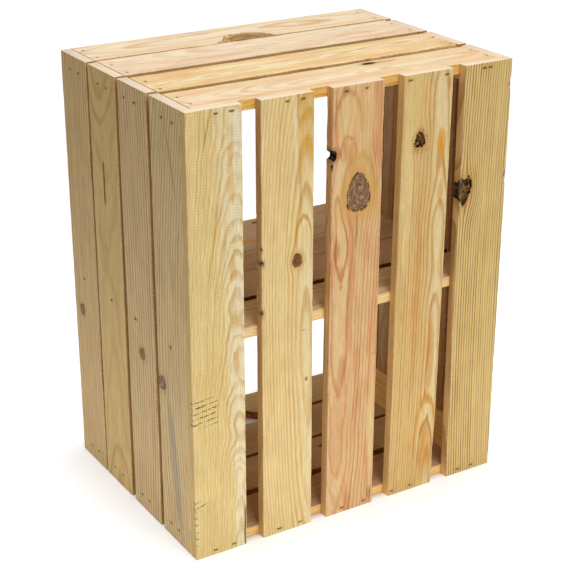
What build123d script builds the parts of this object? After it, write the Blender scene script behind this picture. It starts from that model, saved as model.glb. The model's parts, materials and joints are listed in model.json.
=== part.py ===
"""Wooden apple crate, stood on one end so that it serves as a small open rack.

Two end panels of four boards (the top and the base) are held by triangular corner battens.
Four slats close each side, five spaced slats close the front, which is the crate's floor when
it lies flat, and the back is open. A fixed shelf rests on two triangular cleats half way up.
Narrow-crown staples, sunk just below the surface, hold every board.

Axes: X is the width, Y the depth from the slatted front (-Y) to the open back (+Y), Z is up.
The origin is at the middle of the base. All lengths are in millimetres.
"""
from build123d import *
import os

# ---- overall size ----
CRATE_WIDTH = 400.0
CRATE_DEPTH = 290.0
CRATE_HEIGHT = 500.0

# ---- timber ----
BOARD_THICKNESS = 11.5
BATTEN_LEG = 28.0             # leg of the right-angled triangle that is the section of every batten
SHELF_TOP_HEIGHT = 254.3

# Boards that run in X: distance from the crate's front to the board's front edge, the board's
# width, and how far its two staples at each end stand from its front edge. Sawn boards differ
# in width. The order is from the open back to the slatted front.
TOP_BOARDS = (
    (228.0, 62.0, (10.0, 46.5)),
    (155.0, 67.5, (10.5, 47.5)),
    (81.5, 62.0, (7.5, 40.5)),
    (11.5, 59.0, (13.5, 41.5)),
)
BASE_BOARDS = (
    (226.5, 63.5, (12.0, 49.0)),
    (152.0, 68.0, (13.0, 58.0)),
    (82.0, 63.5, (10.0, 55.0)),
    (11.5, 59.5, (11.0, 50.0)),
)
SHELF_BOARDS = (
    (227.0, 63.0, (15.0, 52.0)),
    (148.5, 71.0, (15.0, 52.0)),
    (83.5, 62.5, (15.0, 52.0)),
    (11.5, 61.5, (15.0, 52.0)),
)

# Upright slats: distance from the crate's front or left face to the slat's near edge at the
# base and at the top, the slat's width, then the staples' offsets from that edge at the base,
# at the shelf and at the top. Side slats are ordered from the back to the front, front slats
# from left to right.
LEFT_SLATS = (
    (226.0, 225.5, 64.0, (20.0, 38.5), (35.0,), (19.5, 41.5)),
    (157.0, 154.0, 65.5, (23.0, 45.5), (33.0,), (21.0, 42.0)),
    (83.0, 83.0, 65.0, (29.0, 46.5), (44.5,), (27.0, 50.0)),
    (11.5, 11.5, 64.5, (29.0, 47.0), (34.5,), (16.0, 38.5)),
)
RIGHT_SLATS = (
    (225.0, 225.0, 65.0, (20.5, 38.5), (36.0,), (20.0, 42.0)),
    (152.5, 152.5, 65.0, (26.0, 48.5), (35.0,), (22.5, 42.5)),
    (80.0, 80.0, 65.5, (28.0, 48.0), (41.0,), (21.0, 50.5)),
    (11.5, 11.5, 62.5, (20.0, 43.5), (33.0,), (20.0, 34.0)),
)
FRONT_SLATS = (
    (0.0, 0.0, 62.7, (24.0, 46.5), (), (34.0, 51.5)),
    (84.2, 84.2, 62.0, (20.5, 47.5), (), (30.5, 49.0)),
    (166.3, 169.0, 63.0, (21.0, 51.5), (), (16.0, 41.5)),
    (252.2, 257.3, 63.3, (5.5, 31.0), (), (7.5, 55.0)),
    (336.8, 336.8, 63.2, (17.0, 37.0), (), (25.5, 33.5)),
)

# ---- hand holes: a half-moon in the front edge of the rearmost board of each end panel ----
HAND_HOLE_RADIUS = 31.0
HAND_HOLE_SETBACK = 2.0       # the circle's centre stands this far in front of the board's edge
TOP_HAND_HOLE_X = 208.0       # from the left face; the two end panels mirror each other
BASE_HAND_HOLE_X = CRATE_WIDTH - TOP_HAND_HOLE_X

# ---- places where a loose knot has dropped out ----
EDGE_KNOT_SLAT = 3            # front slat with a bite in its left edge
EDGE_KNOT_HEIGHT = 427.5
EDGE_KNOT_RADIUS = 5.0
TOP_KNOT_BOARD = 4            # top board with a narrow slot through it
TOP_KNOT_CENTRE = (254.5, 62.5)
TOP_KNOT_SIZE = (14.0, 4.0)

# ---- staples ----
STAPLE_CROWN = 6.0            # over the two legs
STAPLE_WIRE = 1.2
STAPLE_LENGTH = 28.0
STAPLE_SINK = 0.6             # from the board's face down to the crown
END_STAPLES_X = (20.0, 384.5)       # staples that hold the end boards and the shelf
BASE_STAPLES_X = (19.0, 381.0)
SIDE_STAPLE_INSET = 16.5      # height of side staples above the base, and depth below the top
SHELF_STAPLE_HEIGHT = 237.0   # side staples into the shelf cleats

# ---- derived places ----
LEFT = -CRATE_WIDTH / 2
RIGHT = CRATE_WIDTH / 2
FRONT = -CRATE_DEPTH / 2
BACK = CRATE_DEPTH / 2
INNER_LEFT = LEFT + BOARD_THICKNESS
INNER_RIGHT = RIGHT - BOARD_THICKNESS
INNER_FRONT = FRONT + BOARD_THICKNESS
SHELF_UNDERSIDE = SHELF_TOP_HEIGHT - BOARD_THICKNESS
CROWN_ALONG_X = (1, 0, 0)
CROWN_ALONG_Y = (0, 1, 0)


def prism(outline, direction, length):
    """Solid that carries a flat outline, given as 3-D points, straight along a direction."""
    face = make_face(Polyline(*outline, close=True))
    return extrude(face, amount=length, dir=direction)


def cross_board(front_edge, width, underside):
    """Board that runs in X between the side slats."""
    corner = Pos(INNER_LEFT, FRONT + front_edge, underside)
    size = (INNER_RIGHT - INNER_LEFT, width, BOARD_THICKNESS)
    return corner * Box(*size, align=(Align.MIN, Align.MIN, Align.MIN))


def side_slat(outer_x, inward, at_base, at_top, width):
    """Upright slat of one side, which may lean a little along Y; its ends are trimmed level."""
    outline = (
        (outer_x, FRONT + at_base, 0),
        (outer_x, FRONT + at_base + width, 0),
        (outer_x, FRONT + at_top + width, CRATE_HEIGHT),
        (outer_x, FRONT + at_top, CRATE_HEIGHT),
    )
    return prism(outline, (inward, 0, 0), BOARD_THICKNESS)


def front_slat(at_base, at_top, width):
    """Upright slat of the front, which may lean a little along X; its ends are trimmed level."""
    outline = (
        (LEFT + at_base, FRONT, 0),
        (LEFT + at_base + width, FRONT, 0),
        (LEFT + at_top + width, FRONT, CRATE_HEIGHT),
        (LEFT + at_top, FRONT, CRATE_HEIGHT),
    )
    return prism(outline, (0, 1, 0), BOARD_THICKNESS)


def batten(wall_x, inward, flat_z, away):
    """Triangular batten along Y. Its square corner lies where a side wall meets a panel."""
    outline = (
        (wall_x, INNER_FRONT, flat_z),
        (wall_x + inward * BATTEN_LEG, INNER_FRONT, flat_z),
        (wall_x, INNER_FRONT, flat_z + away * BATTEN_LEG),
    )
    return prism(outline, (0, 1, 0), BACK - INNER_FRONT)


def hand_hole(from_left, front_edge):
    """Round cutter whose rear half makes the half-moon; it runs through any board at its place."""
    centre = (LEFT + from_left, FRONT + front_edge - HAND_HOLE_SETBACK, 0)
    return Pos(*centre) * Cylinder(HAND_HOLE_RADIUS, 4 * BOARD_THICKNESS)


def edge_knot():
    """Cutter for the bite that a lost knot leaves in the edge of a front slat."""
    at_base, at_top = FRONT_SLATS[EDGE_KNOT_SLAT - 1][:2]
    edge = LEFT + at_base + (at_top - at_base) * EDGE_KNOT_HEIGHT / CRATE_HEIGHT
    return Pos(edge, FRONT, EDGE_KNOT_HEIGHT) * Rot(90, 0, 0) * Cylinder(
        EDGE_KNOT_RADIUS, 4 * BOARD_THICKNESS
    )


def top_knot():
    """Cutter for the narrow hole that a lost knot leaves in the front top board."""
    centre_x, centre_y = TOP_KNOT_CENTRE
    outline = SlotOverall(*TOP_KNOT_SIZE)
    place = Pos(LEFT + centre_x, FRONT + centre_y, CRATE_HEIGHT - 2 * BOARD_THICKNESS)
    return place * extrude(outline, amount=4 * BOARD_THICKNESS)


def make_boards():
    """Every board, slat, batten and cleat, before the staples are driven."""
    wood = {}
    panels = (
        ("top_board", TOP_BOARDS, CRATE_HEIGHT - BOARD_THICKNESS),
        ("base_board", BASE_BOARDS, 0.0),
        ("shelf_board", SHELF_BOARDS, SHELF_UNDERSIDE),
    )
    for name, boards, underside in panels:
        for number, (front_edge, width, _) in enumerate(boards, start=1):
            wood[f"{name}_{number}"] = cross_board(front_edge, width, underside)
    for name, slats, outer_x, inward in (
        ("left_slat", LEFT_SLATS, LEFT, 1),
        ("right_slat", RIGHT_SLATS, RIGHT, -1),
    ):
        for number, slat in enumerate(slats, start=1):
            wood[f"{name}_{number}"] = side_slat(outer_x, inward, *slat[:3])
    for number, slat in enumerate(FRONT_SLATS, start=1):
        wood[f"front_slat_{number}"] = front_slat(*slat[:3])

    for side, wall_x, inward in (("left", INNER_LEFT, 1), ("right", INNER_RIGHT, -1)):
        top_underside = CRATE_HEIGHT - BOARD_THICKNESS
        wood[f"top_{side}_batten"] = batten(wall_x, inward, top_underside, -1)
        wood[f"base_{side}_batten"] = batten(wall_x, inward, BOARD_THICKNESS, 1)
        wood[f"shelf_{side}_cleat"] = batten(wall_x, inward, SHELF_UNDERSIDE, -1)

    top_hole = hand_hole(TOP_HAND_HOLE_X, TOP_BOARDS[0][0])
    wood["top_board_1"] -= Pos(0, 0, CRATE_HEIGHT) * top_hole
    wood["base_board_1"] -= hand_hole(BASE_HAND_HOLE_X, BASE_BOARDS[0][0])
    wood[f"front_slat_{EDGE_KNOT_SLAT}"] -= edge_knot()
    wood[f"top_board_{TOP_KNOT_BOARD}"] -= top_knot()
    return wood


def cross_board_staples(boards, height, outward, columns):
    """Where the staples of a panel's boards go: two at each end of each board."""
    places = []
    for front_edge, _, offsets in boards:
        for offset in offsets:
            for column in columns:
                point = (LEFT + column, FRONT + front_edge + offset, height)
                places.append(Plane(point, x_dir=CROWN_ALONG_Y, z_dir=(0, 0, outward)))
    return places


def slat_staples(slats, heights, point_at, crown, outward):
    """Where the staples of upright slats go, at the base, the shelf and the top."""
    places = []
    for at_base, at_top, _, *rows in slats:
        for height, offsets in zip(heights, rows):
            lean = (at_top - at_base) * height / CRATE_HEIGHT
            for offset in offsets:
                point = point_at(at_base + lean + offset, height)
                places.append(Plane(point, x_dir=crown, z_dir=outward))
    return places


def make_staple_places():
    """Name of each staple group, and where each of its staples goes."""
    side_heights = (SIDE_STAPLE_INSET, SHELF_STAPLE_HEIGHT, CRATE_HEIGHT - SIDE_STAPLE_INSET)
    half_board = BOARD_THICKNESS / 2
    front_heights = (half_board, SHELF_STAPLE_HEIGHT, CRATE_HEIGHT - half_board)
    return {
        "top_panel_staples": cross_board_staples(TOP_BOARDS, CRATE_HEIGHT, 1, END_STAPLES_X),
        "base_panel_staples": cross_board_staples(BASE_BOARDS, 0.0, -1, BASE_STAPLES_X),
        "shelf_staples": cross_board_staples(SHELF_BOARDS, SHELF_TOP_HEIGHT, 1, END_STAPLES_X),
        "left_side_staples": slat_staples(
            LEFT_SLATS, side_heights, lambda y, z: (LEFT, FRONT + y, z), CROWN_ALONG_Y, (-1, 0, 0)
        ),
        "right_side_staples": slat_staples(
            RIGHT_SLATS, side_heights, lambda y, z: (RIGHT, FRONT + y, z), CROWN_ALONG_Y, (1, 0, 0)
        ),
        "front_slat_staples": slat_staples(
            FRONT_SLATS, front_heights, lambda x, z: (LEFT + x, FRONT, z), CROWN_ALONG_X, (0, -1, 0)
        ),
    }


def staple_shape(crown_top):
    """Staple at the origin, driven along -Z, with its crown along X and up to a given height."""
    crown_height = STAPLE_WIRE + STAPLE_SINK + crown_top
    crown_middle = crown_top - crown_height / 2
    shape = Pos(0, 0, crown_middle) * Box(STAPLE_CROWN, STAPLE_WIRE, crown_height)
    leg_middle = -STAPLE_SINK - STAPLE_LENGTH / 2
    for side in (-1, 1):
        leg_x = side * (STAPLE_CROWN - STAPLE_WIRE) / 2
        shape += Pos(leg_x, 0, leg_middle) * Box(STAPLE_WIRE, STAPLE_WIRE, STAPLE_LENGTH)
    return shape


def boxes_meet(first, second):
    """True where the bounding boxes of two shapes overlap."""
    a = first.bounding_box()
    b = second.bounding_box()
    return (
        a.min.X < b.max.X and b.min.X < a.max.X
        and a.min.Y < b.max.Y and b.min.Y < a.max.Y
        and a.min.Z < b.max.Z and b.min.Z < a.max.Z
    )


def drive_staples(wood, places):
    """Sinks every staple: cuts its seat from the boards and returns the staples by group."""
    staple = staple_shape(-STAPLE_SINK)
    seat = staple_shape(0.0)
    groups = {}
    seats = []
    for group, planes in places.items():
        groups[group] = [plane * staple for plane in planes]
        seats += [plane * seat for plane in planes]
    for name, board in wood.items():
        near = [cutter for cutter in seats if boxes_meet(board, cutter)]
        if near:
            wood[name] = board - near
    return groups


def main():
    os.makedirs("parts", exist_ok=True)
    wood = make_boards()
    staples = drive_staples(wood, make_staple_places())
    for name, board in wood.items():
        export_step(board, f"parts/{name}.step")
    for name, group in staples.items():
        export_step(Compound(children=group), f"parts/{name}.step")


main()
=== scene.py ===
"""Looks of the wooden apple crate: sawn pine boards with knots, worn edges and sunk staples.

Every piece of timber is rebuilt as a fine mesh in place of its CAD node: its edges are eased and
chipped, its staples lie in torn seats, and splits, broken edges and big knots are real relief. The
grain is a solid pattern, so that the faces, edges and end grain of a board agree: growth rings
round a pith line, which bend round the knots.

Lengths are in metres, except in timber space, which is in millimetres: u runs along a piece from
its base, left or front end, v across it from its front, left or outer edge, and w into it from its
outer face.
"""
import json
import math
import zlib
from dataclasses import dataclass, field, replace

import bpy
import numpy as np
from mathutils import Matrix, Vector


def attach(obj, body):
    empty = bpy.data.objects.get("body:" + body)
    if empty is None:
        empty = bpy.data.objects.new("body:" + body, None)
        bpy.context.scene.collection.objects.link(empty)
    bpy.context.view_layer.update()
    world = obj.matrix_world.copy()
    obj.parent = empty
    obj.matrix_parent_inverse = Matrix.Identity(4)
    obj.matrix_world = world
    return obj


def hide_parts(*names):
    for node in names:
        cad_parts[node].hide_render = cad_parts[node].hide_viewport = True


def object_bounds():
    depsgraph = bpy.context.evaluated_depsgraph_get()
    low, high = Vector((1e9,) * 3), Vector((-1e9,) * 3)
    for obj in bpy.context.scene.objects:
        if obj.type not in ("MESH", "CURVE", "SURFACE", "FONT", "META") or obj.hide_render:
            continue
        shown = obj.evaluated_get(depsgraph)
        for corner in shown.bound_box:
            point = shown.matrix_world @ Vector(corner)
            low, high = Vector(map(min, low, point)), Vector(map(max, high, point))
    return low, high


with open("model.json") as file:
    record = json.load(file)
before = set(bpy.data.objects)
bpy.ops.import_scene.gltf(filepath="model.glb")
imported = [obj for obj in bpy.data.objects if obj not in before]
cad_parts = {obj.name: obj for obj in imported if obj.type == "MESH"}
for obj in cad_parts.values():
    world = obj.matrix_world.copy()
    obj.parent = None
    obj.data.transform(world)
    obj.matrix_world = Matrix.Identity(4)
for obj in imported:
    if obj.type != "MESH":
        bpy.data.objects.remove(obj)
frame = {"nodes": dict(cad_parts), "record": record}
CAD_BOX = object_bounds()

MM = 0.001
X, Y, Z = Vector((1, 0, 0)), Vector((0, 1, 0)), Vector((0, 0, 1))
MIDDLE = (CAD_BOX[0] + CAD_BOX[1]) / 2

# ---- camera ----
CAMERA_AZIMUTH = -31.66       # degrees from the view along +Y
CAMERA_ELEVATION = 23.02
CAMERA_DISTANCE = 1.685
CAMERA_AIM = (0.001, -0.0217)  # from the crate's middle, to the right and up in the picture
LENS_MM = 92.0
SENSOR_MM = 36.0

# ---- light ----
KEY_LIGHT = dict(direction=(-0.03, -0.85, 0.76), distance=2.15, size=1.2, power=21.3,
                 colour=(1.0, 0.985, 0.96))
OVERHEAD_LIGHT = dict(direction=(0.0, 0.1, 1.0), distance=2.2, size=1.6, power=24,
                      colour=(1.0, 1.0, 1.0))
WORLD_LIGHT = 0.265           # the world as a light
WORLD_WHITE = 1.05            # the world as the camera sees it
FLOOR_REACH = 0.75            # half the floor's side
FLOOR_COLOUR = "eaebee"
FLOOR_GLOW = (0.4, 0.68)      # emission at the crate's foot and well away from it
GLOW_REACH = 0.14             # how far from the crate the floor reaches its full glow
GLOW_START = 0.012            # how far in under the crate the glow starts
# Behind the crate the full glow comes sooner: painted light over the crate's own shadow
GLOW_BEHIND = 3.0             # extra weight of the distance behind it, where it is full sooner

# ---- mesh grid, mm ----
EDGE_LINES = (0.0, 0.25, 0.6, 1.2, 2.4)   # grid lines beside every arris and end
GAP_ALONG = 4.0
GAP_ACROSS = 7.0
FINE_GAP = 1.6                # grid gap on big knots
LEAST_GAP = 0.12
ARRIS_RADIUS = 0.55
END_RADIUS = 0.45
SHARP_ANGLE = 38              # degrees between faces that meet at a sharp edge
WAVINESS = 0.07               # height of the slow waves in every face

# ---- staples, mm ----
CROWN_SINK = 0.6
CROWN_LENGTH = 6.0
SEAT_DEPTH = 1.0
SEAT_HALF_WIDTH = 0.7
SEAT_HALF_LENGTH = (1.7, 2.8)
STAPLED_BOARDS = {
    "top_panel_staples": "top_board", "base_panel_staples": "base_board",
    "shelf_staples": "shelf_board", "left_side_staples": "left_slat",
    "right_side_staples": "right_slat", "front_slat_staples": "front_slat",
}

# ---- saw marks and relief ----
SAW_PITCH = 2.8               # mm
BURN_COLOUR = "54401f"
BUMP_DEPTH = 0.35 * MM

# ---- holes, mm: places are (u, v) ----
HAND_HOLE_RADIUS = 31.0
HAND_HOLE_SETBACK = 2.0       # the circle's centre lies this far outside the board's near edge
# Where the top hand hole is broken out, as steps from the circle's u and from the board's edge
BROKEN_OUT = (
    (-8, 22), (-14, 30.5), (-19, 30), (-22, 25), (-29, 17), (-34, 9), (-42, 4), (-50, -6), (-8, -6)
)
LOST_KNOT = (243, 51)         # slot through top_board_4
LOST_KNOT_RADII = (7.0, 2.3)
BITE = (427.5, -0.4)          # round bite in the edge of front_slat_3
BITE_RADII = (4.4, 4.4)


# ---- helpers ----
def add_object(name, data):
    """New object in the scene."""
    made = bpy.data.objects.new(name, data)
    bpy.context.scene.collection.objects.link(made)
    return made


def seed_of(name):
    return zlib.crc32(name.encode())


def mesh_points(mesh):
    points = np.empty(len(mesh.vertices) * 3)
    mesh.vertices.foreach_get("co", points)
    return points.reshape(-1, 3)


def set_attribute(mesh, name, values, kind="FLOAT", data_field="value"):
    attribute = mesh.attributes.new(name, kind, "POINT")
    attribute.data.foreach_set(data_field, np.asarray(values, np.float32).ravel())


# ---- timber: where every piece lies, read from the CAD nodes ----
@dataclass
class Timber:
    """One piece of timber and its own space."""
    name: str
    corner: Vector
    along: Vector
    across: Vector
    inward: Vector
    length: float
    outline: tuple  # section as (v, w) corners, square or triangular
    lean: float  # how far the far end stands over along `across`
    seats: list = field(default_factory=list)  # (u, v) of every staple's crown

    @property
    def width(self):
        return max(v for v, _ in self.outline)

    @property
    def depth(self):
        return max(w for _, w in self.outline)

    @property
    def is_mirrored(self):
        return self.along.cross(self.across).dot(self.inward) < 0

    def to_crate(self, u, v, w):
        """Crate coordinates of arrays of timber coordinates."""
        shifted = v + self.lean * u / self.length
        axes = ((u, self.along), (shifted, self.across), (w, self.inward))
        return np.array(self.corner) + sum(np.multiply.outer(a, np.array(b)) for a, b in axes) * MM

    def from_crate(self, points):
        """Timber coordinates of an array of crate points."""
        local = (points - np.array(self.corner)) / MM
        u, v, w = (local @ np.array(axis) for axis in (self.along, self.across, self.inward))
        return u, v - self.lean * u / self.length, w


def read_timber(name, along, across, inward, triangular=False):
    """Timber that fills a CAD node. Each axis is a signed unit vector of the crate's frame."""
    points = mesh_points(frame["nodes"][name].data)
    u, v, w = (points @ np.array(axis) for axis in (along, across, inward))
    first = v[u < u.min() + 0.01 * MM]
    last = v[u > u.max() - 0.01 * MM]
    corner = u.min() * along + first.min() * across + w.min() * inward
    length, width, depth = ((a.max() - a.min()) / MM for a in (u, first, w))
    outline = ((0, 0), (width, 0), (width, depth), (0, depth))
    if triangular:
        outline = ((0, 0), (width, 0), (0, depth))
    lean = (last.min() - first.min()) / MM
    return Timber(name, corner, along, across, inward, length, outline, lean)


def read_timbers():
    """Every piece of timber by its node's name."""
    timbers = []
    for number in range(1, 5):
        timbers += [
            read_timber(f"top_board_{number}", X, Y, -Z),
            read_timber(f"base_board_{number}", X, Y, Z),
            read_timber(f"shelf_board_{number}", X, Y, -Z),
            read_timber(f"left_slat_{number}", Z, Y, X),
            read_timber(f"right_slat_{number}", Z, Y, -X),
        ]
    timbers += [read_timber(f"front_slat_{number}", Z, X, Y) for number in range(1, 6)]
    for side, inward in (("left", X), ("right", -X)):
        timbers += [
            read_timber(f"top_{side}_batten", Y, inward, -Z, triangular=True),
            read_timber(f"base_{side}_batten", Y, inward, Z, triangular=True),
            read_timber(f"shelf_{side}_cleat", Y, inward, -Z, triangular=True),
        ]
    return {timber.name: timber for timber in timbers}


def find_seats(timbers):
    """Gives every board the places of the staples whose crowns lie just under its outer face."""
    for group, prefix in STAPLED_BOARDS.items():
        points = mesh_points(frame["nodes"][group].data)
        for board in [timbers[name] for name in timbers if name.startswith(prefix)]:
            u, v, w = board.from_crate(points)
            on_board = (u > 0) & (u < board.length) & (v > 0) & (v < board.width)
            crown_tops = on_board & (abs(w - CROWN_SINK) < 0.05)
            left = sorted(zip(v[crown_tops], u[crown_tops]))
            while left:
                v0, u0 = left[0]
                reach = v0 + CROWN_LENGTH + 0.5
                crown = [p for p in left if p[0] < reach and abs(p[1] - u0) < 2.5]
                left = [p for p in left if p not in crown]
                v_mid, u_mid = np.mean(crown, axis=0)
                board.seats.append((u_mid, v_mid))


# ---- character: what makes one board differ from the next ----
@dataclass
class Knot:
    """Knot on the outer face: a heart in two tones, a dark rim and a halo in the wood round it."""
    u: float
    v: float
    size: float  # radius across the board
    stretch: float = 1.4  # how much longer than wide
    heart: str = "9a6a44"
    heart_dark: str = "6f4528"
    rim: str = "5a3a22"
    rim_strength: float = 0.7
    halo: str = "c98f4e"
    halo_strength: float = 0.5
    bend: float = 0.85  # how strongly the grain goes round it
    rough: float = 0.0  # relief of its surface, mm
    cracks: float = 0.3
    uneven: float = 0.36  # slow waves of the outline
    crumbs: float = 0.25  # fine raggedness of the outline
    cleft: float = 0.0  # notch in the upper end, or below if negative, which makes it a heart
    taper: float = 0.0  # how much narrower it gets upwards
    scatter: float = 0.0  # dark specks round it
    rim_start: float = 0.8  # where the dark rim begins, in units of its radius
    burn: float = 0.0  # how much darker it gets outwards
    narrows: float = 1.0  # 0 for a knot as wide inside the board as on its face
    fleck: str = "b39a78"


@dataclass
class Mark:
    """Anything on the outer face; its length runs along the board."""
    u: float
    v: float
    length: float
    width: float


@dataclass
class Patch(Mark):
    """Soft-edged stain or resin streak."""
    colour: str
    strength: float = 0.5
    drift: float = 0.0  # sideways run for each unit of length
    ragged: float = 0.35
    edge: float = 0.45  # share of its radius over which it fades
    arch: str = ""  # colour of the growth ring that arches over it, if one does


@dataclass
class Scuffs(Mark):
    """Thin dark lines across the board, where a dull saw burnt it."""
    pitch: float
    strength: float
    skew: float = 0.0


@dataclass
class Split(Mark):
    """Narrow crack along the grain."""
    depth: float
    drift: float = 0.0


@dataclass
class Chip:
    """Stretch of an arris that is more worn than the rest."""
    corner: int  # counted round the section from the near outer arris
    u: float
    length: float
    radius: float


@dataclass
class Look:
    """Grain, colours and marks of one board."""
    early: str = "e6cd9c"  # light wood of a growth ring
    late: str = "cf9d5b"  # dark wood of a growth ring
    warm: str = "d9a868"  # light wood in the warmer areas
    warmth: float = 0.25  # how strongly these show
    contrast: float = 0.7  # of late wood against early wood
    pith: tuple = ((30, 60), (30, 70), (30, 60))  # v and depth at the start, middle and end
    ring: float = 3.0  # mean width of a growth ring, mm
    sharp: float = 0.4  # where in a ring the dark late wood begins
    # Flank colours: the sawn edges' own deeper tone, with painted shade and warm painted bounce light
    # of the gaps between boards
    flank: str = "b98a48"  # colour towards which the sawn edges of the board go
    flank_strength: float = 0.55
    late_flank: str = "7d5424"  # late wood on the sawn edges
    wander: float = 3.0  # slow wave of the pith, mm
    wave: float = 150.0  # its length
    ripple: float = 0.4  # small wave of every ring
    saw: float = 0.4  # strength of the saw's ticks
    joint: float = 0.0  # darkness of the joint at the left end
    end_pale: float = 0.8  # how pale the end grain is
    fibre: float = 1.0  # contrast of the fine fibres
    unequal: float = 1.2  # how much the rings' widths differ
    gold: str = "cf9c48"  # late wood where the rings lie nearly level with the face
    pale: str = "ecdfbf"  # early wood there
    figure: float = 0.6  # how strongly both show
    figure_start: float = 0.82  # how level the rings are where the figure starts
    knots: tuple = ()
    patches: tuple = ()
    scuffs: tuple = ()
    splits: tuple = ()
    chips: tuple = ()


# Flanks of the front, side and top boards: deeper golden tones that paint shade and warm bounce light
# into the gaps between boards
FRONT = Look(flank="efc07c", flank_strength=0.75, late_flank="b88a4c")
SIDE = Look(early="e0c396", late="95703f", warm="cfa073", contrast=0.8, figure=0.3, ring=3.2,
            saw=0.35, sharp=0.5, flank="ad7a38", flank_strength=0.65)
TOP = Look(early="efd9b0", late="d99c58", warm="ecbd94", contrast=0.6, ring=3.4, saw=0.15,
           flank="a67c38", flank_strength=0.75, joint=0.85, gold="d9a060", pale="f3e3c6")
# Inner boards' bright gold flanks: painted light on their edges, which lie in shade behind the front
# slats
INNER = Look(early="cfaa82", late="a87a50", warm="c69672", flank="ffd488", flank_strength=0.95,
             late_flank="d89a48", figure=0.2, end_pale=0.25, fibre=0.7)
# Near-black flanks: painted shade in the dark gaps between inner boards
PAINTED_SHADE_EDGES = replace(INNER, flank="5a2e0a", late_flank="3a1c06", flank_strength=1.0)

TIGHT_KNOT = dict(heart="966640", heart_dark="6a4224", rim="4a2f1e", rim_strength=0.75,
                  halo="cf9f5e", fleck="b48a64")
SIDE_KNOT = dict(heart="a58460", heart_dark="7d5f40", rim="5a4029", rim_strength=0.75,
                 halo="b8905c", rim_start=0.7, fleck="b3946e", uneven=0.2, crumbs=0.1)
RINGED_KNOT = dict(heart="b59a74", heart_dark="8e7350", rim="2b2017", rim_strength=1.0,
                   halo="b58e58", cracks=0.6, rim_start=0.66, uneven=0.2, crumbs=0.12)
BARK_KNOT = dict(heart="a27e60", heart_dark="6f4e3a", rim="4a3020", rim_strength=0.9,
                 halo="d6a050", fleck="c8a884", rim_start=0.86)
BLACK_KNOT = dict(heart="80602f", heart_dark="2c1806", rim="0b0400", rim_strength=1.0,
                  halo="b8823e", fleck="b09058", rim_start=0.62, burn=0.4)
EDGE_KNOT = dict(heart="86602f", heart_dark="4e2f12", rim="1e0e04", rim_strength=1.0,
                 halo="a87a3e", fleck="a8804a", rim_start=0.5, crumbs=0.5)
# Near-black knot colours on the walls of the knot hole and of the bite: painted shade inside the holes
HOLE_SHADE = dict(heart="1e1006", heart_dark="0d0602", rim="080300", rim_strength=1.0,
                 halo="8a5c2c", fleck="2a1e14", rim_start=0.6)

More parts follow.
